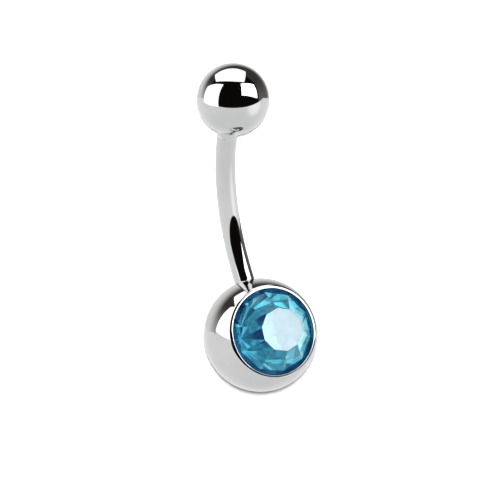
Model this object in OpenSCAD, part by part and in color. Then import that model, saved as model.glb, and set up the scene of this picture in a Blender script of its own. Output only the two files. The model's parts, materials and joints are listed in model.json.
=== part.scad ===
// Navel ring: a short curved barbell. A crystal is set in the large fixed ball,
// and the small plain ball screws off the bar's other end.
// Millimetres. The part lies on a surface, Z up, on both balls and the bow of the bar.

/* [Gem ball] */
// Diameter of the ball that holds the crystal
gem_ball_d = 8; // [7.6:0.1:9]
// Width of the lip's flat, from the opening to the rounded edge
lip_flat = 0.04; // [0.02:0.02:0.12]
// Radius of the edge that runs from the lip into the ball
lip_round = 0.26; // [0.2:0.02:0.32]
// Thickness of the lip at the opening
lip_thickness = 0.48; // [0.4:0.02:0.52]
// How far the lip reaches in over the crystal's girdle
lip_overlap = 0.08; // [0.04:0.01:0.12]
// Diameter of the drilled hole under the crystal's point
drill_d = 0.8; // [0.5:0.1:1.2]
// Depth of the drilled hole below the crystal's point
drill_depth = 0.15; // [0.05:0.05:0.4]

/* [Crystal] */
// Diameter of the crystal at its girdle
crystal_d = 6.3; // [6:0.05:6.4]
// Number of crown facets, and of pavilion facets
facets = 10; // [8:1:12]
// Angle by which the facets are turned about the crystal's axis
crystal_turn = 14; // [0:1:35]
// Diameter of the table across its corners
table_d = 3.1; // [2.6:0.1:3.6]
// Diameter across the corners at the lower edge of the crown facets
crown_d = 5.66; // [5.4:0.02:5.8]
// Height of the table above the lower edge of the crown facets
crown_height = 1.6; // [1.2:0.1:1.8]
// Slope of the shoulder between the crown facets and the girdle, in degrees
shoulder_angle = 64; // [62:1:68]
// Thickness of the girdle where it is thinnest
girdle_thickness = 0.15; // [0.1:0.05:0.3]
// Slope of the pavilion facets, in degrees
pavilion_angle = 42; // [39:1:45]

/* [Bar] */
// Diameter of the bar
bar_d = 1.4; // [1.2:0.1:1.6]
// Straight length from the gem ball's surface to the bend
straight_at_gem_ball = 0.8; // [0.5:0.1:1.4]
// Radius of the bend along the middle of the bar
bend_radius = 12.25; // [11:0.25:13]
// Angle of the bend
bend_angle = 50.6; // [46:0.2:54]
// Straight length from the bend to the top ball's surface
straight_at_top_ball = 0.6; // [0.4:0.1:1.2]
// How deep the bar is soldered into the gem ball
solder_depth = 1; // [0.6:0.1:1.2]
// How much the straight end is turned down in radius, to slide into the top ball's seat
end_turned = 0.01; // [0.01:0.01:0.04]

/* [Thread] */
// Diameter of the threaded end
thread_d = 1.1; // [0.9:0.05:1.15]
// Length of the threaded end
thread_length = 3.2; // [2.4:0.1:3.6]
// Chamfer at the tip of the threaded end
thread_chamfer = 0.1; // [0.05:0.05:0.2]

/* [Top ball] */
// Diameter of the plain ball that screws off
top_ball_d = 5; // [4.5:0.1:5.5]
// Depth of the seat for the end of the bar, measured from the ball's surface
seat_depth = 0.25; // [0.15:0.05:0.4]
// Length of the hole past the end of the thread
hole_spare = 0.3; // [0.1:0.1:0.5]

/* [Fits] */
// Gap between the crystal and the metal round it
crystal_gap = 0.03; // [0.02:0.01:0.05]
// Gap round the thread in the top ball's hole
thread_gap = 0.02; // [0.01:0.01:0.05]
// Gap between the end of the bar and the floor of its seat
seat_gap = 0.02; // [0.01:0.01:0.05]
// Gap round the bar in its seat
seat_side_gap = 0.03; // [0.02:0.01:0.06]

/* [Hidden] */
$fn = 96;
// Steps along the girdle on each facet
girdle_steps = 4;
// Overlap that makes a cut run clean past a surface
past = 0.5;
// How far the turned end starts inside the bend, where it stays below the bend's surface
turned_start = 0.2;

gem_ball_r = gem_ball_d / 2;
top_ball_r = top_ball_d / 2;
bar_r = bar_d / 2;
end_r = bar_r - end_turned;
thread_r = thread_d / 2;
crystal_r = crystal_d / 2;
crown_r = crown_d / 2;

// The drawing frame has the gem ball's centre as its origin. The bar leaves it along +Y
// and bends up towards +Z, the way that the crystal faces.
bend_start = gem_ball_r + straight_at_gem_ball;
bend_end = [bend_start + bend_radius * sin(bend_angle), bend_radius * (1 - cos(bend_angle))];
bar_way = [cos(bend_angle), sin(bend_angle)];
top_ball_at = bend_end + (straight_at_top_ball + top_ball_r) * bar_way;

// Lip: its rounded edge touches both the flat and the ball
opening_r = crystal_r - lip_overlap;
round_r = opening_r + lip_flat;
round_z = sqrt(pow(gem_ball_r - lip_round, 2) - pow(round_r, 2));
lip_z = round_z + lip_round;
round_meets_ball_z = round_z * gem_ball_r / (gem_ball_r - lip_round);

// Crystal: its shoulder lies under the lip, one gap away
shoulder_gap = crystal_gap / cos(shoulder_angle);
lip_under_z = lip_z - lip_thickness;
shoulder_slope = tan(shoulder_angle);
crown_z = lip_under_z - shoulder_gap + (opening_r - crown_r) * shoulder_slope;
table_z = crown_z + crown_height;
girdle_z = crown_z - (crystal_r - crown_r) * shoulder_slope;
pavilion_slope = tan(pavilion_angle);
point_z = girdle_z - girdle_thickness - crystal_r * pavilion_slope;

// Cup: a cone round the pavilion's edges, one gap away
cup_r = crystal_r + crystal_gap;
cup_slope = pavilion_slope * cos(180 / facets);
cup_gap = crystal_gap * sqrt(1 + pow(cup_slope, 2));
function cup_z(r) = point_z - cup_gap + cup_slope * r;

// Threaded end and its hole, measured from the top ball's centre back along the bar
shoulder_at = top_ball_r - seat_depth + seat_gap;
hole_end_at = shoulder_at - thread_length - hole_spare;

// Rest: one plane touches the gem ball, the top ball and the bow of the bar.
// Its upward direction has the part rest_share in the plane of the bend, at the angle
// rest_angle from +Y, and the remainder lies across that plane.
reach = (top_ball_r - gem_ball_r) / (bar_r - gem_ball_r);
bend_centre = [bend_start, bend_radius];
rest_line = top_ball_at - reach * bend_centre;
rest_angle = atan2(rest_line[1], rest_line[0]) + acos(-reach * bend_radius / norm(rest_line));
rest_share = (bar_r - gem_ball_r)
    / (bend_centre * [cos(rest_angle), sin(rest_angle)] - bend_radius);
pitch = 90 - rest_angle;
roll = acos(rest_share);
tipped = [
    top_ball_at[0] * cos(pitch) - top_ball_at[1] * sin(pitch),
    top_ball_at[0] * sin(pitch) + top_ball_at[1] * cos(pitch)
];
yaw = atan2(tipped[1] * sin(roll), tipped[0]);
// Distance between the two balls' centres, seen from above
ball_distance = norm([tipped[1] * sin(roll), tipped[0]]);
gem_ball_y = -(ball_distance + top_ball_r - gem_ball_r) / 2;

// Lays the part from its drawing frame onto the surface
module laid() {
    translate([0, gem_ball_y, gem_ball_r]) rotate([pitch, roll, yaw]) children();
}

// Places a child at the top ball's centre, with +Z along the bar's end
module at_top_ball() {
    translate([0, top_ball_at[0], top_ball_at[1]]) rotate([bend_angle - 90, 0, 0]) children();
}

// Half section of the gem ball, with its axis along Y of the sheet
module gem_ball_section() {
    difference() {
        union() {
            intersection() {
                circle(r = gem_ball_r);
                translate([0, -gem_ball_r]) square([gem_ball_r, gem_ball_r + round_meets_ball_z]);
            }
            translate([0, round_z]) square([round_r, lip_round]);
            translate([round_r, round_z]) circle(r = lip_round);
        }
        cup_section();
    }
}

// Half section of the space for the crystal, open at the lip
module cup_section() {
    drill_r = drill_d / 2;
    floor_z = point_z - drill_depth;
    girdle_clear_z = lip_under_z - (cup_r - opening_r) * shoulder_slope;
    polygon([
        [-past, floor_z],
        [drill_r, floor_z],
        [drill_r, cup_z(drill_r)],
        [cup_r, cup_z(cup_r)],
        [cup_r, girdle_clear_z],
        [opening_r, lip_under_z],
        [opening_r, lip_z + past],
        [-past, lip_z + past]
    ]);
}

// Bar from its soldered root to the shoulder, and the threaded end beyond
module bar() {
    translate([0, gem_ball_r - solder_depth, 0]) rotate([-90, 0, 0])
        cylinder(r = bar_r, h = solder_depth + straight_at_gem_ball);
    translate([0, bend_centre[0], bend_centre[1]]) rotate([0, 90, 0])
        rotate_extrude(angle = bend_angle) translate([bend_radius, 0]) circle(r = bar_r);
    at_top_ball() {
        end_back = straight_at_top_ball + top_ball_r + turned_start;
        translate([0, 0, -end_back]) cylinder(r = end_r, h = end_back - shoulder_at);
        translate([0, 0, -shoulder_at]) cylinder(r = thread_r, h = thread_length - thread_chamfer);
        translate([0, 0, thread_length - thread_chamfer - shoulder_at])
            cylinder(r1 = thread_r, r2 = thread_r - thread_chamfer, h = thread_chamfer);
    }
}

// The curved bar and the gem ball, soldered into one piece
module barbell() {
    color("silver") laid() {
        rotate_extrude() gem_ball_section();
        bar();
    }
}

// The round crystal: table, crown facets, shoulder, girdle and pointed pavilion
module crystal() {
    round_steps = facets * girdle_steps;
    half_steps = girdle_steps / 2;
    function turned(r, angle, z) = [r * cos(crystal_turn + angle), r * sin(crystal_turn + angle), z];
    function corners(r, z) = [for (i = [0:facets - 1]) turned(r, i * 360 / facets, z)];
    // Height at which a pavilion facet meets the girdle, highest at the facet's middle
    function pavilion_z(step) = point_z + crystal_r * pavilion_slope
        * cos(((step % girdle_steps) / girdle_steps - 0.5) * 360 / facets);
    girdle_top = [for (i = [0:round_steps - 1]) turned(crystal_r, i * 360 / round_steps, girdle_z)];
    girdle_low = [for (i = [0:round_steps - 1]) turned(crystal_r, i * 360 / round_steps, pavilion_z(i))];
    function t(i) = i % facets;
    function c(i) = facets + i % facets;
    function g(i) = 2 * facets + i % round_steps;
    function l(i) = 2 * facets + round_steps + i % round_steps;
    point = 2 * facets + 2 * round_steps;
    table_face = [[for (i = [facets - 1:-1:0]) t(i)]];
    crown_faces = [for (i = [0:facets - 1]) [t(i), t(i + 1), c(i + 1), c(i)]];
    shoulder_faces = [for (i = [0:facets - 1]) each concat(
        [for (s = [0:half_steps - 1]) [c(i), g(i * girdle_steps + s + 1), g(i * girdle_steps + s)]],
        [[c(i), c(i + 1), g(i * girdle_steps + half_steps)]],
        [for (s = [half_steps:girdle_steps - 1])
            [c(i + 1), g(i * girdle_steps + s + 1), g(i * girdle_steps + s)]]
    )];
    girdle_faces = [for (i = [0:round_steps - 1]) [g(i), g(i + 1), l(i + 1), l(i)]];
    pavilion_faces = [for (i = [0:facets - 1]) concat(
        [for (s = [0:girdle_steps]) l(i * girdle_steps + s)], [point]
    )];
    color("turquoise") laid()
        polyhedron(
            points = concat(corners(table_d / 2, table_z), corners(crown_r, crown_z),
                girdle_top, girdle_low, [[0, 0, point_z]]),
            faces = concat(table_face, crown_faces, shoulder_faces, girdle_faces, pavilion_faces)
        );
}

// The plain ball, with its threaded hole and the seat that takes the end of the bar
module top_ball() {
    color("silver") laid() at_top_ball()
        difference() {
            sphere(r = top_ball_r);
            translate([0, 0, -shoulder_at - past])
                cylinder(r = thread_r + thread_gap, h = shoulder_at + past - hole_end_at);
            translate([0, 0, -top_ball_r - past])
                cylinder(r = end_r + seat_side_gap, h = seat_depth + past);
        }
}

barbell();
crystal();
top_ball();
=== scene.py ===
"""Looks of the navel ring: a polished curved barbell with a blue crystal in its gem ball.

Every piece is a surface worked out in millimetres along the ring's own axes, then placed in the
part's frame in metres. The gem ball and the bar stand for the soldered barbell, and the crystal
and the top ball stand for their own solids. A tent of soft lights stands round the ring.
"""

import json
import logging
from dataclasses import dataclass
from enum import Enum, IntEnum

import bpy
import numpy as np
from bpy.types import Material, Node, NodeSocket, Object, World
from mathutils import Matrix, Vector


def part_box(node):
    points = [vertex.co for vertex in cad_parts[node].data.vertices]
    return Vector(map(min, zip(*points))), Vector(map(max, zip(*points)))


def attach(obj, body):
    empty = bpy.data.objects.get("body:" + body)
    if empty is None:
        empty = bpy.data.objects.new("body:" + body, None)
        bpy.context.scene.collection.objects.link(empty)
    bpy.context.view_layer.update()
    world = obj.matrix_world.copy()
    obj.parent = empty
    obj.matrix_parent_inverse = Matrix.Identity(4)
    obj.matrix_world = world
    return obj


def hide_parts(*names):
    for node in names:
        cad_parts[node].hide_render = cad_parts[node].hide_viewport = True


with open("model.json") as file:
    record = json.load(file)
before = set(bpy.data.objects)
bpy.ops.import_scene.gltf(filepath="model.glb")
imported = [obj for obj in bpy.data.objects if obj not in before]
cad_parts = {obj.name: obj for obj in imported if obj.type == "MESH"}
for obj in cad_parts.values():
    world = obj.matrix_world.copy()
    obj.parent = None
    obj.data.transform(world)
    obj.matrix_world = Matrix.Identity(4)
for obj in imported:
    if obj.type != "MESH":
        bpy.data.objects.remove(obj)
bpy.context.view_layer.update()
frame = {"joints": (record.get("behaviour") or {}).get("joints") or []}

Array = np.ndarray
Colour = tuple[float, float, float, float]
Band = tuple[float, float]
MM = 0.001

# A turned profile starts and ends this far from its axis in millimetres, and a ball's outline at
# this many degrees from its equator. The mesh closes what is left with a fan.
NEAR_AXIS = 0.02
NEAR_POLE = 89.6

# Steps of a ball's outline.
BALL_STEPS = 150

log = logging.getLogger("navel_ring")


class Body(Enum):
    """The two bodies that the pieces ride on."""

    BARBELL = "barbell"
    BALL = "ball"


class Slot(Enum):
    """The record's two material slots."""

    STEEL = "steel"
    CRYSTAL = "crystal"


class Facet(IntEnum):
    """The crystal's kinds of facet, in the order of its finishes."""

    CROWN = 0
    TABLE = 1
    SHOULDER = 2
    BACK = 3


# Points, profiles and meshes


def unit(vector: Array) -> Array:
    """The vector scaled to length 1."""
    return vector / np.linalg.norm(vector)


def direction(azimuth: Array | float, elevation: Array | float) -> Array:
    """The unit vector (cos e sin a, sin e, cos e cos a) at azimuth a and elevation e in degrees."""
    a, e = np.radians(azimuth), np.radians(elevation)
    return np.stack([np.cos(e) * np.sin(a), np.sin(e), np.cos(e) * np.cos(a)], axis=-1)


def run(*corners: tuple[float, float], steps: int = 4) -> Array:
    """The straight stretches of a profile through some corners.

    The share of the way at step i of a stretch is (1 - cos(180 i / steps)) / 2, which crowds
    the points towards the corners, so that shading beside them stays flat.

    Args:
        corners: radius and height of each corner.
        steps: number of steps along each stretch.

    Returns:
        Points of (radius, height), one row each.
    """
    share = (1 - np.cos(np.linspace(0, np.pi, steps + 1))) / 2
    pairs = zip(corners, corners[1:])
    return joined(*(np.outer(1 - share, start) + np.outer(share, end) for start, end in pairs))


def arc(centre: tuple[float, float], radius: float, first: float, last: float, steps: int) -> Array:
    """The profile's points centre + radius * (cos a, sin a), for a from first to last in degrees."""
    angle = np.radians(np.linspace(first, last, steps + 1))
    return np.array(centre) + radius * np.stack([np.cos(angle), np.sin(angle)], axis=1)


def joined(*stretches: Array) -> Array:
    """The stretches of a profile one after another, without the points that two of them share."""
    points = np.concatenate(stretches)
    apart = np.linalg.norm(np.diff(points, axis=0), axis=1) > 1e-7
    return points[np.concatenate([[True], apart])]


def even(profile: Array, columns: int) -> Array:
    """A profile's radii by row and column, the same in every column."""
    return np.repeat(profile[:, :1], columns, axis=1)


@dataclass(frozen=True)
class Axes:
    """A right-handed set of unit axes and the point they start from, in the part's frame."""

    origin: Array
    x: Array
    y: Array
    z: Array

    def turned(self, vectors: Array) -> Array:
        """Vectors along these axes, turned into the part's frame."""
        return vectors @ np.stack([self.x, self.y, self.z])

    def place(self, points: Array) -> Array:
        """Points in millimetres along these axes, carried into the part's frame in metres."""
        return self.origin + MM * self.turned(points)

    def moved(self, *offset: float) -> "Axes":
        """The same axes, from a point that is given along them in millimetres."""
        return Axes(self.place(np.array(offset)), self.x, self.y, self.z)

    def matrix(self) -> Matrix:
        """The object matrix with these axes and their origin as its columns."""
        made = np.eye(4)
        made[:3] = np.stack([self.x, self.y, self.z, self.origin], axis=1)
        return Matrix(made.tolist())


@dataclass
class Mesh:
    """Corner points in millimetres, and the faces between them."""

    points: Array
    faces: list[list[int]]

    @classmethod
    def from_grid(cls, grid: Array) -> "Mesh":
        """Joins a grid of points, closed round its columns, and closes both of its ends.

        Args:
            grid: points by row, column and coordinate. The first and the last row are the
                rims of the ends, each closed with a fan of triangles to its middle.

        Returns:
            The closed mesh, which faces outwards where the rows climb along the axis that the
            columns turn round anticlockwise.
        """
        rows, columns = grid.shape[:2]
        index = np.arange(rows * columns).reshape(rows, columns)
        following = np.roll(index, -1, axis=1)
        quads = np.stack([index[:-1], following[:-1], following[1:], index[1:]], axis=-1)
        low, high = rows * columns, rows * columns + 1
        low_fan = np.stack([following[0], index[0], np.full(columns, low)], axis=-1)
        high_fan = np.stack([index[-1], following[-1], np.full(columns, high)], axis=-1)
        middles = np.stack([grid[0].mean(axis=0), grid[-1].mean(axis=0)])
        points = np.concatenate([grid.reshape(-1, 3), middles])
        return cls(points, quads.reshape(-1, 4).tolist() + low_fan.tolist() + high_fan.tolist())

    @classmethod
    def sheet(cls, grid: Array) -> "Mesh":
        """Joins a grid of points, by row, column and coordinate, into an open sheet."""
        rows, columns = grid.shape[:2]
        index = np.arange(rows * columns).reshape(rows, columns)
        quads = np.stack([index[:-1, :-1], index[1:, :-1], index[1:, 1:], index[:-1, 1:]], axis=-1)
        return cls(grid.reshape(-1, 3), quads.reshape(-1, 4).tolist())

    @classmethod
    def revolved(cls, radius: Array, height: Array) -> "Mesh":
        """Turns a profile round the axis: (r cos a, r sin a, z) for each row and angle a.

        Args:
            radius: radii by row and column. It starts and ends close to the axis.
            height: heights by row.

        Returns:
            The closed mesh.
        """
        angle = np.linspace(0, 2 * np.pi, radius.shape[1], endpoint=False)
        rise = np.broadcast_to(height[:, None], radius.shape)
        return cls.from_grid(np.stack([radius * np.cos(angle), radius * np.sin(angle), rise], -1))

    def piece(self, name: str, axes: Axes, finishes: list[Material]) -> Object:
        """Makes the Blender object, with its place in its mesh.

        Args:
            name: the piece's name.
            axes: the axes that its points are measured along.
            finishes: its materials.

        Returns:
            The new object, smooth all over.
        """
        data = bpy.data.meshes.new(name)
        data.from_pydata(axes.place(self.points).tolist(), [], self.faces)
        data.polygons.foreach_set("use_smooth", np.ones(len(data.polygons), dtype=bool))
        for finish in finishes:
            data.materials.append(finish)
        data.update()
        made = bpy.data.objects.new(name, data)
        bpy.context.scene.collection.objects.link(made)
        return made


# Shader nodes


class Number:
    """A number in a node tree. Python's operators on it add Math nodes."""

    def __init__(self, tree: "Tree", socket: NodeSocket) -> None:
        """Wraps one output socket of the tree."""
        self.tree = tree
        self.socket = socket

    def _math(self, operation: str, *terms: "Number | float") -> "Number":
        """Adds one Math node for the operation on the terms."""
        return self.tree.number("ShaderNodeMath", {"operation": operation}, dict(enumerate(terms)))

    def __add__(self, other: "Number | float") -> "Number":
        """This plus other."""
        return self._math("ADD", self, other)

    def __rsub__(self, other: float) -> "Number":
        """Other minus this."""
        return self._math("SUBTRACT", other, self)

    def __mul__(self, other: "Number | float") -> "Number":
        """This times other."""
        return self._math("MULTIPLY", self, other)

    __radd__ = __add__
    __rmul__ = __mul__

    def at_least(self, floor: float) -> "Number":
        """This, or the floor where this is lower."""
        return self._math("MAXIMUM", self, floor)

    def ramp(self, start: float, end: float) -> "Number":
        """0 up to the start and 1 from the end on, either way round, with a smooth step between."""
        if start > end:
            return 1.0 - self.ramp(end, start)
        return self.tree.number("ShaderNodeMapRange", {"interpolation_type": "SMOOTHSTEP"}, {
            "Value": self, "From Min": start, "From Max": end,
        })

    def between(self, low: float, high: float) -> "Number":
        """Low where this is 0, high where it is 1, and their mixture between."""
        return low + self * (high - low)


class Tree:
    """The node tree of one material or world."""

    def __init__(self, owner: Material | World) -> None:
        """Empties the owner's node tree."""
        owner.use_nodes = True
        self.nodes = owner.node_tree.nodes
        self.links = owner.node_tree.links
        self.nodes.clear()

    def node(self, kind: str, settings: dict | None = None,
             sockets: dict | None = None) -> Node:
        """Adds one node.

        Args:
            kind: the node's type.
            settings: its properties, which are set before its sockets.
            sockets: a value, a Number or an output socket for each input, by name or place.

        Returns:
            The new node.
        """
        made = self.nodes.new(kind)
        for key, value in (settings or {}).items():
            setattr(made, key, value)
        for key, value in (sockets or {}).items():
            source = value.socket if isinstance(value, Number) else value
            if isinstance(source, NodeSocket):
                self.links.new(source, made.inputs[key])
            else:
                made.inputs[key].default_value = source
        return made

    def number(self, kind: str, settings: dict | None = None, sockets: dict | None = None,
               output: str | int = 0) -> Number:
        """Adds one node and wraps the named output of it."""
        return Number(self, self.node(kind, settings, sockets).outputs[output])

    def noise(self, size: float, detail: float) -> Number:
        """Soft noise from 0 to 1 in the object's coordinates, with its cells one size across."""
        point = self.node("ShaderNodeTexCoord").outputs["Object"]
        return self.number("ShaderNodeTexNoise", None, {
            "Vector": point, "Scale": 1 / size, "Detail": detail, "Roughness": 0.55,
        })

    def mix(self, share: Number | NodeSocket, low: Colour | NodeSocket,
            high: Colour | NodeSocket) -> NodeSocket:
        """A colour that goes from low to high as the share goes from 0 to 1."""
        made = self.node("ShaderNodeMix", {"data_type": "RGBA"}, {"Factor": share, 6: low, 7: high})
        return made.outputs[2]

    def bump(self, height: Number) -> NodeSocket:
        """The normal of a surface raised by the height in metres."""
        made = self.node("ShaderNodeBump", None, {"Strength": 1.0, "Distance": 1.0, "Height": height})
        return made.outputs[0]

    def output(self, shader: Node, inside: Node | None = None,
               kind: str = "ShaderNodeOutputMaterial") -> None:
        """Sends one shader to the surface and, where there is one, another to the inside."""
        made = self.node(kind, None, {"Surface": shader.outputs[0]})
        if inside is not None:
            self.links.new(inside.outputs[0], made.inputs["Volume"])


# Finishes


@dataclass(frozen=True)
class Finish:
    """A finish, with its material's name. Each kind adds its own nodes in shade()."""

    name: str

    def shade(self, tree: Tree) -> None:
        """Adds the finish's nodes to an empty tree."""
        raise NotImplementedError

    def build(self) -> Material:
        """Makes the material."""
        material = bpy.data.materials.new(self.name)
        self.shade(Tree(material))
        return material


@dataclass(frozen=True)
class PolishedSteel(Finish):
    """Mirror-polished surgical steel, with the faint waves and haze that a buffing wheel leaves."""

    name: str = "polished_steel"
    bright: Colour = (0.665, 0.66, 0.655, 1.0)
    dull: Colour = (0.62, 0.618, 0.612, 1.0)
    dull_band: Band = (0.35, 0.7)
    roughness: float = 0.025
    haze: float = 0.035
    haze_band: Band = (0.45, 0.75)
    wave_height: float = 0.0006 * MM
    wave_length: float = 1.1 * MM
    patches_per_wave: float = 0.35
    mark_height: float = 0.00012 * MM
    mark_length: float = 0.12 * MM

    def shade(self, tree: Tree) -> None:
        """Adds the nodes: tone and haze in soft patches, waves and fine marks in the bump."""
        patches = tree.noise(self.wave_length / self.patches_per_wave, 3.0)
        waves = tree.noise(self.wave_length, 1.0)
        marks = tree.noise(self.mark_length, 2.0)
        tree.output(tree.node("ShaderNodeBsdfPrincipled", None, {
            "Base Color": tree.mix(patches.ramp(*self.dull_band), self.bright, self.dull),
            "Metallic": 1.0,
            "Roughness": patches.ramp(*self.haze_band) * self.haze + self.roughness,
            "Normal": tree.bump(waves * self.wave_height + marks * self.mark_height),
        }))


@dataclass(frozen=True)
class CutGlass(Finish):
    """The crystal's glass on its crown facets.

    The tint goes by a facet's slant to the eye and is painted light and shade, standing in for
    the light that a real cut sends back: a darker painted_square_shade, painted shade, on a facet
    seen square on, then tint with clouds of deep_tint, then a bright painted_slanting_light, painted
    light, under a clear coat. A slant is 0 square on and 1 edge on.
    """

    name: str = "cut_glass"
    tint: Colour = (0.085, 0.42, 0.48, 1.0)
    deep_tint: Colour = (0.07, 0.37, 0.44, 1.0)
    cloud_band: Band = (0.3, 0.7)
    painted_square_shade: Colour = (0.03, 0.22, 0.33, 1.0)
    square_slants: Band = (0.1, 0.3)
    painted_slanting_light: Colour = (0.36, 1.0, 1.0, 1.0)
    slanting_slants: Band = (0.46, 0.62)
    deep_colour: Colour = (0.3, 0.75, 0.9, 1.0)
    depth_per_metre: float = 25.0
    index: float = 1.56
    shine: float = 0.3
    shine_tint: Colour = (0.08, 0.3, 0.4, 1.0)
    coat: float = 0.0
    slanting_coat: float = 1.0
    coat_slants: Band = (0.5, 0.68)
    coat_index: float = 1.6
    cloud_size: float = 2.2 * MM
    mark_length: float = 0.3 * MM
    mark_height: float = 0.00005 * MM

    def absorption(self, tree: Tree) -> Node:
        """The glass within the stone, which takes light away with depth."""
        return tree.node("ShaderNodeVolumeAbsorption", None, {
            "Color": self.deep_colour, "Density": self.depth_per_metre,
        })

    def shade(self, tree: Tree) -> None:
        """Adds the nodes: smooth glass tinted and coated by its slant, with polishing marks."""
        clouds = tree.noise(self.cloud_size, 2.0)
        marks = tree.noise(self.mark_length, 2.0)
        slant = tree.number("ShaderNodeLayerWeight", None, {"Blend": 0.5}, "Facing")
        tint = tree.mix(clouds.ramp(*self.cloud_band), self.tint, self.deep_tint)
        # Painted shade and light: a darker tint on facets seen square on, a bright cyan tint on
        # slanting ones.
        tint = tree.mix(slant.ramp(*self.square_slants), self.painted_square_shade, tint)
        tint = tree.mix(slant.ramp(*self.slanting_slants), tint, self.painted_slanting_light)
        tree.output(tree.node("ShaderNodeBsdfPrincipled", None, {
            "Base Color": tint,
            "Roughness": 0.0,
            "IOR": self.index,
            "Specular IOR Level": self.shine,
            "Specular Tint": self.shine_tint,
            "Coat Weight": slant.ramp(*self.coat_slants).between(self.coat, self.slanting_coat),
            "Coat IOR": self.coat_index,
            "Transmission Weight": 1.0,
            "Normal": tree.bump(marks * self.mark_height),
        }), self.absorption(tree))


@dataclass(frozen=True)
class TableGlass(CutGlass):
    """The same glass on the table, under a bright clear coat: a pale, even tint at every slant,
    painted light that makes the table paler than the crown's glass.
    """

    name: str = "table_glass"
    # Painted light: a paler tint than the crown's glass, for the pale table.
    tint: Colour = (0.24, 0.35, 0.39, 1.0)
    deep_tint: Colour = (0.21, 0.32, 0.37, 1.0)
    painted_square_shade: Colour = (0.24, 0.35, 0.39, 1.0)
    painted_slanting_light: Colour = (0.24, 0.35, 0.39, 1.0)
    shine: float = 1.0
    shine_tint: Colour = (1.0, 1.0, 1.0, 1.0)
    coat: float = 1.0
    coat_index: float = 2.3


@dataclass(frozen=True)
class MirrorBack(Finish):
    """The silvered back of the crystal's pavilion, seen through the glass."""

    name: str = "silvered_back"
    bright: Colour = (0.97, 0.985, 0.99, 1.0)
    worn: Colour = (0.93, 0.96, 0.97, 1.0)
    worn_band: Band = (0.4, 0.7)
    roughness: float = 0.08
    haze: float = 0.04
    patch_size: float = 1.4 * MM

    def shade(self, tree: Tree) -> None:
        """Adds the nodes: a faintly tinted mirror with slightly uneven silvering."""
        patches = tree.noise(self.patch_size, 3.0)
        tree.output(tree.node("ShaderNodeBsdfPrincipled", None, {
            "Base Color": tree.mix(patches.ramp(*self.worn_band), self.bright, self.worn),
            "Metallic": 1.0,
            "Roughness": patches * self.haze + self.roughness,
        }))


@dataclass(frozen=True)
class BlueShoulder(Finish):
    """The crystal's shoulder: the crystal's glass tinted deep blue as light enters, painted shade
    for the gap under the lip, and a mirror seen from inside.
    """

    name: str = "blue_shoulder"
    tint: Colour = (0.008, 0.05, 0.15, 1.0)
    pale_tint: Colour = (0.012, 0.07, 0.2, 1.0)
    pale_band: Band = (0.4, 0.7)
    roughness: float = 0.15
    haze: float = 0.1
    mirror: Colour = (0.97, 0.985, 0.99, 1.0)
    mirror_roughness: float = 0.1
    grain: float = 0.2 * MM
    glass: CutGlass = CutGlass()

    def shade(self, tree: Tree) -> None:
        """Adds the nodes: satin glass on its front and a mirror on its back."""
        grain = tree.noise(self.grain, 2.0)
        # Painted shade: the outside is the crystal's glass tinted deep blue, for the shoulder in the
        # gap under the lip.
        outside = tree.node("ShaderNodeBsdfPrincipled", None, {
            "Base Color": tree.mix(grain.ramp(*self.pale_band), self.tint, self.pale_tint),
            "Roughness": grain * self.haze + self.roughness,
            "IOR": self.glass.index,
            "Specular Tint": self.glass.shine_tint,
            "Transmission Weight": 1.0,
        })
        within = tree.node("ShaderNodeBsdfPrincipled", None, {
            "Base Color": self.mirror, "Metallic": 1.0, "Roughness": self.mirror_roughness,
        })
        side = tree.node("ShaderNodeNewGeometry").outputs["Backfacing"]
        tree.output(tree.node("ShaderNodeMixShader", None, {
            0: side, 1: outside.outputs[0], 2: within.outputs[0],
        }), self.glass.absorption(tree))


@dataclass(frozen=True)
class PaleFloor(Finish):
    """The matt white sheet that the ring lies on."""

    name: str = "pale_floor"
    pale: Colour = (0.86, 0.86, 0.865, 1.0)
    paler: Colour = (0.9, 0.9, 0.9, 1.0)
    roughness: float = 0.6
    shine: float = 0.2
    fibre: float = 0.6 * MM

    def shade(self, tree: Tree) -> None:
        """Adds the nodes: near-white with a very faint unevenness."""
        tree.output(tree.node("ShaderNodeBsdfPrincipled", None, {
            "Base Color": tree.mix(tree.noise(self.fibre, 2.0), self.pale, self.paler),
            "Roughness": self.roughness,
            "Specular IOR Level": self.shine,
        }))


@dataclass(frozen=True)
class PanelGlow(Finish):
    """The glow of a light panel, dimmer where it has been mirrored more than once."""

    radiance: float
    tint: Colour
    mirrored_again: float = 1.6
    second_mirror: Band = (1.4, 1.6)

    def shade(self, tree: Tree) -> None:
        """Adds the nodes: an even glow whose strength goes by the number of mirrorings."""
        again = tree.number("ShaderNodeLightPath", output="Glossy Depth").ramp(*self.second_mirror)
        strength = again.between(self.radiance, min(self.radiance, self.mirrored_again))
        tree.output(tree.node("ShaderNodeEmission", None, {"Color": self.tint, "Strength": strength}))


# The ring


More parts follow.
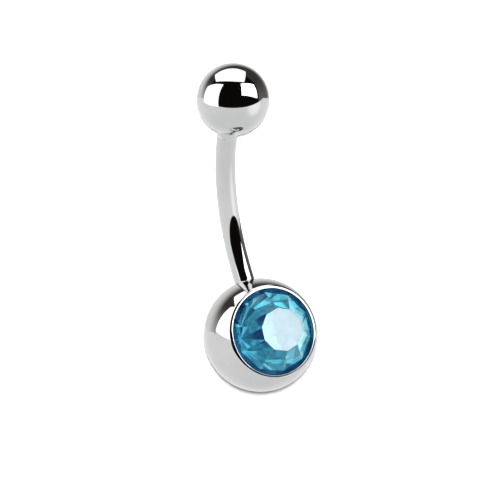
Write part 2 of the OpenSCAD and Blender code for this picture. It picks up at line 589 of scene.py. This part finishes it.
@dataclass(frozen=True)
class Layout:
    """Where the ring lies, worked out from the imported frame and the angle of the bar's bend."""

    gem_ball: Array
    gem_ball_r: float
    top_ball: Array
    top_ball_r: float
    bar_end: Array
    bend_angle: float = 50.6

    @classmethod
    def from_frame(cls) -> "Layout":
        """Takes the balls from their nodes' boxes, and the way of the bar's end from the joint."""
        low, high = (np.array(corner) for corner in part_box("barbell"))
        gem_ball_r = (high[0] - low[0]) / 2
        centre = np.array([(high[0] + low[0]) / 2, low[1] + gem_ball_r, low[2] + gem_ball_r])
        ball_low, ball_high = (np.array(corner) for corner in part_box("top_ball"))
        return cls(
            gem_ball=centre,
            gem_ball_r=gem_ball_r / MM,
            top_ball=(ball_low + ball_high) / 2,
            top_ball_r=(ball_high[0] - ball_low[0]) / 2 / MM,
            bar_end=unit(np.array(frame["joints"][0]["axis"])),
        )

    def axes(self) -> Axes:
        """Axes at the gem ball's centre: X across the bend, Y the bar's way out, Z the stone's way.

        The bend lies in one plane with both centres, so X is square to the line between them
        and to the bar's end. Y is the bar's end turned back by the bend's angle round X.
        """
        x = unit(np.cross(self.top_ball - self.gem_ball, self.bar_end))
        bend = np.radians(self.bend_angle)
        lifted = np.cross(x, self.bar_end)
        y = np.cos(bend) * self.bar_end - np.sin(bend) * lifted
        z = np.sin(bend) * self.bar_end + np.cos(bend) * lifted
        return Axes(self.gem_ball, x, y, z)

    def end_axes(self) -> Axes:
        """Axes at the top ball's centre, with Z along the bar's end."""
        x = self.axes().x
        return Axes(self.top_ball, x, np.cross(self.bar_end, x), self.bar_end)


@dataclass(frozen=True)
class Crystal:
    """The round crystal: table, crown facets, shoulder, girdle and pointed pavilion.

    Heights are measured from the lower edge of the crown facets.
    """

    girdle_d: float = 6.3
    facets: int = 10
    turn: float = 14.0
    table_d: float = 3.1
    crown_d: float = 5.66
    crown_height: float = 1.6
    shoulder_angle: float = 64.0
    girdle_thickness: float = 0.15
    pavilion_angle: float = 42.0
    girdle_steps: int = 4
    edge_round: float = 0.012
    edge_angle: float = 12.0

    @property
    def girdle_r(self) -> float:
        """Radius of the girdle."""
        return self.girdle_d / 2

    @property
    def shoulder_slope(self) -> float:
        """Fall of the shoulder for each millimetre outwards."""
        return float(np.tan(np.radians(self.shoulder_angle)))

    @property
    def pavilion_slope(self) -> float:
        """Fall of a pavilion facet along its middle for each millimetre inwards."""
        return float(np.tan(np.radians(self.pavilion_angle)))

    @property
    def girdle_z(self) -> float:
        """Height of the girdle's upper edge."""
        return (self.crown_d / 2 - self.girdle_r) * self.shoulder_slope

    @property
    def point_z(self) -> float:
        """Height of the pavilion's point."""
        return self.girdle_z - self.girdle_thickness - self.girdle_r * self.pavilion_slope

    def mesh(self) -> Mesh:
        """Rings of corners joined by flat faces.

        A corner is (r cos a, r sin a, z). The pavilion's flat facets meet the round girdle at
        the height point + girdle radius * slope * cos(a - middle of the facet). Between the
        crown's corners and the girdle's, each girdle edge is joined to the nearer crown corner.

        Returns:
            The closed stone: table, crown, shoulder, girdle and then pavilion.
        """
        count, steps = self.facets, self.girdle_steps
        corner = np.radians(self.turn + np.arange(count) * 360 / count)
        around = np.radians(self.turn + np.arange(count * steps) * 360 / (count * steps))
        off_middle = ((np.arange(count * steps) % steps) / steps - 0.5) * 2 * np.pi / count
        pavilion_z = self.point_z + self.girdle_r * self.pavilion_slope * np.cos(off_middle)

        def ring(radius: float, angle: Array, height: Array | float) -> Array:
            """Points round the axis at one radius."""
            across, along = radius * np.cos(angle), radius * np.sin(angle)
            return np.stack([across, along, np.broadcast_to(height, angle.shape)], axis=1)

        points = np.concatenate([
            ring(self.table_d / 2, corner, self.crown_height),
            ring(self.crown_d / 2, corner, 0.0),
            ring(self.girdle_r, around, self.girdle_z),
            ring(self.girdle_r, around, pavilion_z),
            [[0.0, 0.0, self.point_z]],
        ])
        table = np.arange(count)
        crown = table + count
        upper = np.arange(count * steps) + 2 * count
        lower = upper + count * steps

        def after(ids: Array) -> Array:
            """The number that follows each of these, round the ring."""
            return np.roll(ids, -1)

        half = steps // 2
        nearer = np.roll(np.repeat(crown, steps), half - steps)
        rows = lower.reshape(count, steps)
        tips = np.full((count, 1), len(points) - 1)
        bands = (
            table[None, :],
            np.stack([table, crown, after(crown), after(table)], axis=1),
            np.stack([nearer, upper, after(upper)], axis=1),
            np.stack([crown, upper[half::steps], after(crown)], axis=1),
            np.stack([upper, lower, after(lower), after(upper)], axis=1),
            np.concatenate([rows, after(rows[:, :1]), tips], axis=1)[:, ::-1],
        )
        return Mesh(points, [face for band in bands for face in band.tolist()])

    def build(self, axes: Axes) -> Object:
        """Makes the stone with flat facets, narrow polished edges and a silvered back.

        Args:
            axes: the stone's axes, from the middle of its crown's lower edge.

        Returns:
            The crystal, riding on the barbell in place of its solid.
        """
        finishes = [CutGlass(), TableGlass(), BlueShoulder(), MirrorBack()]
        made = self.mesh().piece("cut_crystal", axes, [finish.build() for finish in finishes])
        faces = made.data.polygons
        faces.foreach_set("use_smooth", np.zeros(len(faces), dtype=bool))
        kind = np.full(len(faces), Facet.CROWN.value, dtype=np.int32)
        shoulder = 1 + self.facets
        girdle = shoulder + self.facets * (self.girdle_steps + 1)
        kind[0] = Facet.TABLE.value
        kind[shoulder:girdle] = Facet.SHOULDER.value
        kind[girdle:] = Facet.BACK.value
        faces.foreach_set("material_index", kind)
        edges = made.modifiers.new("polished_edges", "BEVEL")
        edges.width = self.edge_round * MM
        edges.segments = 1
        edges.limit_method = "ANGLE"
        edges.angle_limit = np.radians(self.edge_angle)
        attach(made, Body.BARBELL.value)
        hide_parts("crystal")
        return made


@dataclass(frozen=True)
class GemBall:
    """The large ball: cut flat for the crystal, with a thin lip that is rounded over its girdle."""

    layout: Layout
    crystal: Crystal = Crystal()
    lip_flat: float = 0.04
    lip_round: float = 0.26
    lip_thickness: float = 0.48
    lip_overlap: float = 0.08
    lip_edge: float = 0.02
    drill_d: float = 0.8
    drill_depth: float = 0.15
    crystal_gap: float = 0.03

    @property
    def opening_r(self) -> float:
        """Radius of the opening over the crystal's girdle."""
        return self.crystal.girdle_r - self.lip_overlap

    @property
    def lip_z(self) -> float:
        """Height of the lip's flat, whose rounded edge touches the ball."""
        inner, outer = self.layout.gem_ball_r - self.lip_round, self.opening_r + self.lip_flat
        return float(np.sqrt(inner ** 2 - outer ** 2)) + self.lip_round

    @property
    def crown_z(self) -> float:
        """Height of the crown facets' lower edge, one gap under the lip along the shoulder."""
        gap = self.crystal_gap / np.cos(np.radians(self.crystal.shoulder_angle))
        rise = (self.opening_r - self.crystal.crown_d / 2) * self.crystal.shoulder_slope
        return self.lip_z - self.lip_thickness - gap + rise

    def profile(self) -> Array:
        """From the back of the ball round its outside, over the lip and down into the cup."""
        ball_r, crystal = self.layout.gem_ball_r, self.crystal
        opening, top, edge = self.opening_r, self.lip_z, self.lip_edge
        outer = opening + self.lip_flat
        cup_r = crystal.girdle_r + self.crystal_gap
        under = top - self.lip_thickness
        meets = float(np.degrees(np.arctan2(top - self.lip_round, outer)))
        slope = crystal.pavilion_slope * float(np.cos(np.pi / crystal.facets))
        point = self.crown_z + crystal.point_z
        cone = point - self.crystal_gap * float(np.sqrt(1 + slope ** 2))
        drill = self.drill_d / 2
        drill_end = point - self.drill_depth
        clear = under - (cup_r - opening) * crystal.shoulder_slope
        return joined(
            arc((0.0, 0.0), ball_r, -NEAR_POLE, meets, BALL_STEPS),
            arc((outer, top - self.lip_round), self.lip_round, meets, 90, 24),
            run((outer, top), (opening + edge, top), steps=8),
            arc((opening + edge, top - edge), edge, 90, 180, 6),
            run((opening, top - edge), (opening, under), steps=6),
            run((opening, under), (cup_r, clear), (cup_r, cone + slope * cup_r)),
            run((cup_r, cone + slope * cup_r), (drill, cone + slope * drill), steps=12),
            run((drill, cone + slope * drill), (drill, drill_end), (NEAR_AXIS, drill_end)),
        )

    def build(self, steel: Material, columns: int = 256) -> Object:
        """Makes the ball by turning its profile round the stone's axis.

        Args:
            steel: the finish.
            columns: number of steps round the axis.

        Returns:
            The ball, riding on the barbell.
        """
        profile = self.profile()
        mesh = Mesh.revolved(even(profile, columns), profile[:, 1])
        made = mesh.piece("gem_ball", self.layout.axes(), [steel])
        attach(made, Body.BARBELL.value)
        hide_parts("barbell")
        return made


@dataclass(frozen=True)
class Thread:
    """A fine screw thread, as a radius that climbs and falls along a helix."""

    outer_r: float = 0.55
    depth: float = 0.1
    pitch: float = 0.25
    fade: float = 0.25
    steepness: float = 1.6

    @property
    def root_r(self) -> float:
        """Radius at the bottom of a pin's groove."""
        return self.outer_r - self.depth

    def radius(self, along: Array, columns: int, deepen: bool) -> Array:
        """Radius by height and column.

        The phase is the height less the turn, both in pitches. A triangle wave of that phase,
        made steeper and clipped from 0 to 1, gives a flat crest and a flat root. The depth
        fades to nothing over the fade at both ends.

        Args:
            along: heights, one for each row.
            columns: number of steps round the axis.
            deepen: True for a hole, where the groove goes outwards.

        Returns:
            Radii in millimetres.
        """
        turn = np.linspace(0, 1, columns, endpoint=False)
        phase = (along[:, None] / self.pitch - turn[None, :]) % 1
        triangle = 0.5 - np.abs(2 * phase - 1)
        groove = np.clip(0.5 + self.steepness * triangle, 0, 1)
        near = np.minimum(along - along.min(), along.max() - along)[:, None] / self.fade
        groove = groove * np.clip(near, 0, 1)
        return self.outer_r + self.depth * groove if deepen else self.outer_r - self.depth * groove


@dataclass(frozen=True)
class Bar:
    """The curved bar, from its soldered root to the tip of its threaded end."""

    layout: Layout
    bar_d: float = 1.4
    straight_at_gem_ball: float = 0.8
    bend_radius: float = 12.25
    straight_at_top_ball: float = 0.6
    root_depth: float = 0.5
    end_turned: float = 0.01
    turned_start: float = 0.2
    turned_step: float = 0.02
    solder_round: float = 0.06
    shoulder_at: float = 2.27
    shoulder_round: float = 0.04
    relief_length: float = 0.16
    thread_length: float = 3.2
    chamfer: float = 0.1
    bend_steps: int = 260
    thread_steps: int = 299
    tip_steps: int = 4
    tip_middle: float = 0.05
    thread: Thread = Thread()

    def middle(self, along: Array) -> tuple[Array, Array]:
        """The bar's middle line and its upward direction, by the distance along it.

        Straight along Y, then round the bend by an angle of distance / radius, then straight.

        Args:
            along: distances from the gem ball's centre.

        Returns:
            The points, and the unit vectors square to the line in the plane of the bend.
        """
        start = self.layout.gem_ball_r + self.straight_at_gem_ball
        full = np.radians(self.layout.bend_angle)
        angle = np.clip((along - start) / self.bend_radius, 0, full)
        before = np.minimum(along, start)
        after = np.maximum(along - start - self.bend_radius * full, 0)
        y = before + self.bend_radius * np.sin(angle) + after * np.cos(full)
        z = self.bend_radius * (1 - np.cos(angle)) + after * np.sin(full)
        nothing = np.zeros_like(along)
        up = np.stack([nothing, -np.sin(angle), np.cos(angle)], axis=1)
        return np.stack([nothing, y, z], axis=1), up

    def outline(self) -> tuple[Array, Array]:
        """Distances along the middle line, and the bar's radius there.

        Returns:
            The plain bar's (radius, distance) points, and the distances of the threaded end.
        """
        bar_r, root_r = self.bar_d / 2, self.thread.root_r
        end_r = bar_r - self.end_turned
        ball_r = self.layout.gem_ball_r
        root = ball_r - self.root_depth
        fillet = self.solder_round
        fillet_at = float(np.sqrt((ball_r + fillet) ** 2 - (bar_r + fillet) ** 2))
        toward_ball = float(np.degrees(np.arctan2(fillet_at, bar_r + fillet)))
        bend = self.bend_radius * np.radians(self.layout.bend_angle)
        bend_end = ball_r + self.straight_at_gem_ball + bend
        centre = bend_end + self.straight_at_top_ball + self.layout.top_ball_r
        turned = bend_end - self.turned_start
        narrow = turned + self.turned_step
        shoulder = centre - self.shoulder_at
        relief = shoulder + self.relief_length / 2
        edge = self.shoulder_round
        plain = joined(
            run((NEAR_AXIS, root), (bar_r, root)),
            arc((bar_r + fillet, fillet_at), fillet, 180 + toward_ball, 180, 12),
            np.linspace((bar_r, fillet_at), (bar_r, turned), self.bend_steps + 1),
            run((bar_r, turned), (end_r, narrow)),
            run((end_r, narrow), (end_r, shoulder - edge), steps=12),
            arc((end_r - edge, shoulder - edge), edge, 0, 90, 6),
            run((end_r - edge, shoulder), (root_r, shoulder), (root_r, relief)),
        )
        first, tip = shoulder + self.relief_length, shoulder + self.thread_length
        return plain, np.linspace(first, tip, self.thread_steps + 1)

    def screw(self, threaded: Array, columns: int) -> Array:
        """The threaded end's radii by row and column, with its run-in and its chamfered tip."""
        outer_r, root_r = self.thread.outer_r, self.thread.root_r
        past_chamfer = threaded - (threaded.max() - self.chamfer)
        limit = np.maximum(outer_r - past_chamfer, outer_r - self.chamfer)[:, None]
        wave = np.minimum(self.thread.radius(threaded, columns, deepen=False), limit)
        run_in = np.clip((threaded - threaded[0]) / (self.relief_length / 2), 0, 1)[:, None]
        return root_r + (wave - root_r) * run_in

    def mesh(self, columns: int = 128) -> Mesh:
        """Carries the outline along the middle line: middle + radius * (cos a up + sin a across)."""
        plain, threaded = self.outline()
        wave = self.screw(threaded, columns)
        face = np.linspace(1, self.tip_middle, self.tip_steps + 1)[1:, None] * wave[-1]
        along = np.concatenate([plain[:, 1], threaded, np.full(len(face), threaded.max())])
        radius = np.concatenate([even(plain, columns), wave, face])
        points, up = self.middle(along)
        angle = np.linspace(0, 2 * np.pi, columns, endpoint=False)
        across = np.array([1.0, 0.0, 0.0])
        out = np.cos(angle)[None, :, None] * up[:, None, :] + np.sin(angle)[None, :, None] * across
        return Mesh.from_grid(points[:, None, :] + radius[:, :, None] * out)

    def build(self, steel: Material) -> Object:
        """Makes the bar.

        Args:
            steel: the finish.

        Returns:
            The bar, riding on the barbell and standing for it with the gem ball.
        """
        made = self.mesh().piece("curved_bar", self.layout.axes(), [steel])
        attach(made, Body.BARBELL.value)
        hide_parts("barbell")
        return made


@dataclass(frozen=True)
class TopBall:
    """The plain ball that screws off, with the seat and the threaded hole on its underside."""

    layout: Layout
    seat_depth: float = 0.25
    seat_r: float = 0.72
    seat_edge: float = 0.03
    hole_end: float = 1.23
    hole_plain: float = 0.1
    hole_mouth: float = 0.04
    thread_rows: int = 199
    thread: Thread = Thread(outer_r=0.57, depth=0.07, fade=0.2)

    def mesh(self, columns: int = 224) -> Mesh:
        """Turns the hole, the seat and the outside of the ball round the bar's end."""
        ball_r = self.layout.top_ball_r
        hole_r = self.thread.outer_r
        floor = -(ball_r - self.seat_depth)
        edge = self.seat_edge
        rim_r = self.seat_r + edge
        rim_z = -float(np.sqrt((ball_r - edge) ** 2 - rim_r ** 2))
        rim = float(np.degrees(np.arctan2(rim_z, rim_r)))
        thread_top, mouth = self.hole_end - self.hole_plain, self.hole_mouth
        end = run((NEAR_AXIS, self.hole_end), (hole_r, self.hole_end), (hole_r, thread_top))
        hole = np.linspace(thread_top, floor + mouth, self.thread_rows + 1)[1:]
        rest = joined(
            run((hole_r + mouth, floor), (self.seat_r, floor), (self.seat_r, rim_z)),
            arc((rim_r, rim_z), edge, 180, 360 + rim, 8),
            arc((0.0, 0.0), ball_r, rim, NEAR_POLE, BALL_STEPS),
        )
        wave = self.thread.radius(hole, columns, deepen=True)
        radius = np.concatenate([even(end, columns), wave, even(rest, columns)])
        return Mesh.revolved(radius, np.concatenate([end[:, 1], hole, rest[:, 1]]))

    def build(self, steel: Material) -> Object:
        """Makes the ball.

        Args:
            steel: the finish.

        Returns:
            The ball, riding on its own body.
        """
        made = self.mesh().piece("screw_ball", self.layout.end_axes(), [steel])
        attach(made, Body.BALL.value)
        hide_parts("top_ball")
        return made


# The studio


@dataclass(frozen=True)
class Viewpoint:
    """The camera. Angles are in degrees, and lengths in millimetres.

    Azimuth 0 looks along +Y, and 90 along -X. The gem ball's centre lies to the right of the
    picture's middle and above it by the two offsets.
    """

    layout: Layout
    azimuth: float = 171.888
    elevation: float = 64.069
    roll: float = -177.997
    distance: float = 300.1
    gem_ball_right: float = 0.746
    gem_ball_up: float = -5.972
    lens: float = 307.15
    sensor: float = 36.0
    nearest: float = 1.0
    farthest: float = 10_000.0

    def axes(self, centre: Array) -> Axes:
        """The camera's right, up and back directions, at a centre."""
        sideways, upwards, behind = direction(self.azimuth, self.elevation)
        back = np.array([sideways, -behind, upwards])
        level = unit(np.cross([0.0, 0.0, 1.0], back))
        upright = np.cross(back, level)
        roll = np.radians(self.roll)
        right = np.cos(roll) * level + np.sin(roll) * upright
        return Axes(centre, right, np.cross(back, right), back)

    def build(self) -> None:
        """Makes the scene's camera, pointed at the ring."""
        data = bpy.data.cameras.new("camera")
        data.lens = self.lens
        data.sensor_width = self.sensor
        data.clip_start = self.nearest * MM
        data.clip_end = self.farthest * MM
        made = bpy.data.objects.new("camera", data)
        ball_axes = self.axes(self.layout.gem_ball)
        place = ball_axes.moved(-self.gem_ball_right, -self.gem_ball_up, self.distance)
        made.matrix_world = place.matrix()
        bpy.context.scene.collection.objects.link(made)
        bpy.context.scene.camera = made


@dataclass(frozen=True)
class Softbox:
    """A bright panel of the light tent.

    Its corners are (azimuth, elevation, reach) seen from the top ball: azimuth is 0 towards
    the camera and 90 to its right, and reach is in millimetres. They go round from the left
    corner that is nearer the camera's top.
    """

    name: str
    corners: tuple[tuple[float, float, float], ...]
    radiance: float
    bow: float = 0.0
    tint: Colour = (1.0, 1.0, 1.0, 1.0)
    steps: int = 24

    def build(self, axes: Axes) -> None:
        """Makes the panel, unseen by the camera: a sheet mixed between its four corners.

        At the shares u and v of the way across and down it, its bow moves a point forwards by
        bow * 4 u (1 - u) v.

        Args:
            axes: the studio's axes at the top ball, in the camera's directions.
        """
        azimuth, elevation, reach = np.array(self.corners).T
        corners = reach[:, None] * direction(azimuth, elevation)
        share = np.linspace(0, 1, self.steps + 1)
        u, v = share[:, None, None], share[None, :, None]
        grid = (1 - u) * (1 - v) * corners[0] + u * (1 - v) * corners[1]
        grid = grid + u * v * corners[2] + (1 - u) * v * corners[3]
        grid = grid + self.bow * 4 * u * (1 - u) * v * np.array([0.0, 0.0, 1.0])
        glow = PanelGlow(self.name, self.radiance, self.tint).build()
        made = Mesh.sheet(grid).piece(self.name, axes, [glow])
        made.visible_camera = False
        made.visible_diffuse = False
        made.visible_transmission = False
        made.visible_shadow = False


@dataclass(frozen=True)
class Lamp:
    """A round lamp over the camera that lights the floor, left out of mirrored light.

    It is raised from the camera by an angle in degrees, seen from the gem ball, so that a
    narrow crescent of the ball's shadow shows under it.
    """

    name: str = "floor_lamp"
    raised: float = 3.2
    reach: float = 300.0
    size: float = 22.0
    power: float = 1.6

    def build(self, axes: Axes) -> None:
        """Makes the lamp.

        Args:
            axes: the camera's directions at the gem ball's centre.
        """
        raised = np.radians(self.raised)
        back = np.cos(raised) * axes.z + np.sin(raised) * axes.y
        data = bpy.data.lights.new(self.name, "AREA")
        data.shape = "DISK"
        data.size = self.size * MM
        data.energy = self.power
        made = bpy.data.objects.new(self.name, data)
        place = axes.origin + self.reach * MM * back
        made.matrix_world = Axes(place, axes.x, np.cross(back, axes.x), back).matrix()
        made.visible_glossy = False
        made.visible_transmission = False
        bpy.context.scene.collection.objects.link(made)


@dataclass(frozen=True)
class Lobe:
    """A round patch of the light that leaves the crystal, in degrees seen from the ring."""

    azimuth: float
    elevation: float
    reach: float
    soft: float
    tone: Colour

    def way(self, axes: Axes) -> Array:
        """The direction of its middle, along the studio's axes."""
        return axes.turned(direction(self.azimuth, self.elevation))

    def edges(self) -> tuple[float, float]:
        """Cosines of the angles where the patch begins and where it is full."""
        far, near = np.cos(np.radians([self.reach + self.soft, self.reach - self.soft]))
        return float(far), float(near)


@dataclass(frozen=True)
class Studio:
    """The floor, the light tent's panels, and the tones of its walls and its white table.

    A band of a tone is where it sets in and where it is full, as parts of a direction along one
    of the studio's axes: to the right, up, or to the front, where the camera is.
    """

    viewpoint: Viewpoint
    floor_half: float = 900.0
    wall_left: Colour = (0.42, 0.41, 0.4, 1.0)
    wall_right: Colour = (0.15, 0.145, 0.14, 1.0)
    right_band: Band = (0.0, 0.8)
    wall_high: Colour = (0.052, 0.046, 0.042, 1.0)
    high_band: Band = (0.05, 0.65)
    backdrop: Colour = (0.86, 0.86, 0.86, 1.0)
    backdrop_band: Band = (-0.55, -0.95)
    backdrop_lean: float = 0.3
    opening: Colour = (0.0052, 0.0042, 0.0035, 1.0)
    opening_band: Band = (-0.06, 0.06)
    table_near: Colour = (0.96, 0.965, 0.985, 1.0)
    table_under: Colour = (0.86, 0.87, 0.885, 1.0)
    under_band: Band = (-0.2, -1.0)
    table_glow: Colour = (1.25, 1.25, 1.26, 1.0)
    glow_way: tuple[float, float, float] = (0.92, -0.34, 0.18)
    glow_band: Band = (0.86, 1.0)
    edge_front: float = 0.46
    edge_middle: float = 0.115
    edge_behind: float = -0.045
    edge_band: Band = (0.012, -0.012)
    seen: Colour = (0.93, 0.93, 0.93, 1.0)
    crossed_band: Band = (0.4, 0.6)
    stone_low: Colour = (0.72, 0.74, 0.76, 1.0)
    stone_high: Colour = (1.2, 1.22, 1.24, 1.0)
    stone_back: Colour = (1.6, 1.62, 1.64, 1.0)
    stone_back_band: Band = (0.5, -0.6)
    stone_lobes: tuple[Lobe, ...] = (
        Lobe(32.0, 12.0, 25.0, 6.0, (2.8, 2.8, 2.8, 1.0)),
        Lobe(-10.0, -29.0, 33.0, 3.0, (0.03, 0.04, 0.26, 1.0)),
    )
    floor_light: Colour = (0.12, 0.12, 0.12, 1.0)
    lamp: Lamp = Lamp()
    panels: tuple[Softbox, ...] = (
        Softbox("left_softbox", (
            (-98.6, 26.5, 38.0), (-37.5, 42.0, 40.0), (-50.4, -22.8, 90.0), (-106.8, -4.8, 95.0),
        ), 1.9),
        Softbox("left_table", (
            (-106.8, -4.8, 95.0), (-50.4, -22.8, 90.0), (-50.4, -38.0, 90.0), (-106.8, -20.0, 95.0),
        ), 0.95, tint=(0.98, 0.985, 1.0, 1.0)),
        Softbox("right_softbox", (
            (32.0, 46.0, 420.0), (85.0, 35.0, 420.0), (83.0, 1.5, 420.0), (27.5, 10.0, 420.0),
        ), 3.6, tint=(0.85, 0.95, 1.0, 1.0)),
        Softbox("top_softbox", (
            (-121.9, 48.7, 320.0), (130.1, 59.7, 320.0), (50.6, 49.3, 320.0), (-77.4, 44.7, 320.0),
        ), 1.7, bow=66.0),
    )

    def build_floor(self) -> None:
        """Makes the flat floor under the ring, left out of mirrored light."""
        side = np.linspace(-self.floor_half, self.floor_half, 3)
        x, y = np.meshgrid(side, side, indexing="ij")
        level = Axes(np.zeros(3), *np.eye(3))
        grid = np.stack([x, y, np.zeros_like(x)], axis=-1)
        made = Mesh.sheet(grid).piece("floor", level, [PaleFloor().build()])
        made.visible_glossy = False
        made.visible_transmission = False
        made.visible_shadow = False

    def build_world(self, axes: Axes) -> None:
        """Paints the tent's table, walls and backdrop by direction along the studio's axes.

        The white table lies below up + edge = 0, where the edge is the larger of edge_behind and
        edge_front * front + edge_middle. The walls are grey and fall to near black under the
        ceiling, the backdrop is light, and the front is black. Light that has crossed the
        crystal's glass comes from a brighter field with the crystal's lobes, and the floor gets
        a dim even light besides the lamp's.

        Args:
            axes: the studio's axes, in the camera's directions.
        """
        world = bpy.data.worlds.new("light_tent")
        bpy.context.scene.world = world
        tree = Tree(world)
        way = tree.node("ShaderNodeTexCoord").outputs["Generated"]

        def share(axis: Array) -> Number:
            """The direction's part along one axis."""
            return tree.number("ShaderNodeVectorMath", {"operation": "DOT_PRODUCT"},
                               {0: way, 1: tuple(axis)}, "Value")

        right, up, front = share(axes.x), share(axes.y), share(axes.z)
        wall = tree.mix(right.ramp(*self.right_band), self.wall_left, self.wall_right)
        wall = tree.mix(up.ramp(*self.high_band), wall, self.wall_high)
        behind = right * self.backdrop_lean + front
        wall = tree.mix(behind.ramp(*self.backdrop_band), wall, self.backdrop)
        tent = tree.mix(front.ramp(*self.opening_band), wall, self.opening)
        table = tree.mix(up.ramp(*self.under_band), self.table_near, self.table_under)
        glow = share(unit(axes.turned(np.array(self.glow_way))))
        table = tree.mix(glow.ramp(*self.glow_band), table, self.table_glow)
        edge = (front * self.edge_front + self.edge_middle).at_least(self.edge_behind)
        tent = tree.mix((up + edge).ramp(*self.edge_band), tent, table)
        light = tree.node("ShaderNodeLightPath")
        crossed = Number(tree, light.outputs["Transmission Depth"])
        through = tree.mix(up.ramp(-1.0, 1.0), self.stone_low, self.stone_high)
        through = tree.mix(front.ramp(*self.stone_back_band), through, self.stone_back)
        for lobe in self.stone_lobes:
            through = tree.mix(share(lobe.way(axes)).ramp(*lobe.edges()), through, lobe.tone)
        tone = tree.mix(crossed.ramp(*self.crossed_band), tent, through)
        tone = tree.mix(light.outputs["Is Diffuse Ray"], tone, self.floor_light)
        tone = tree.mix(light.outputs["Is Camera Ray"], tone, self.seen)
        background = tree.node("ShaderNodeBackground", None, {"Color": tone})
        tree.output(background, kind="ShaderNodeOutputWorld")

    def build(self) -> None:
        """Makes the whole studio, turned to the camera."""
        layout = self.viewpoint.layout
        axes = self.viewpoint.axes(layout.top_ball)
        self.build_floor()
        self.build_world(axes)
        self.lamp.build(self.viewpoint.axes(layout.gem_ball))
        for panel in self.panels:
            panel.build(axes)
        scene = bpy.context.scene
        scene.view_settings.view_transform = "Standard"
        scene.cycles.max_bounces = 20
        scene.cycles.glossy_bounces = 16
        scene.cycles.transmission_bounces = 16


def report(piece: Object) -> None:
    """Logs one piece's name, faces and size."""
    size = ", ".join(f"{side / MM:.2f}" for side in piece.dimensions)
    log.info("%s: %d faces, %s mm", piece.name, len(piece.data.polygons), size)


def main() -> None:
    """Builds the ring piece by piece, then the camera and the studio."""
    logging.basicConfig(level=logging.INFO, format="%(name)s: %(message)s")
    layout = Layout.from_frame()
    steel = PolishedSteel().build()
    gem_ball = GemBall(layout)
    report(gem_ball.build(steel))
    report(Bar(layout).build(steel))
    report(gem_ball.crystal.build(layout.axes().moved(0.0, 0.0, gem_ball.crown_z)))
    report(TopBall(layout).build(steel))
    viewpoint = Viewpoint(layout)
    viewpoint.build()
    Studio(viewpoint).build()


if __name__ == "__main__":
    main()
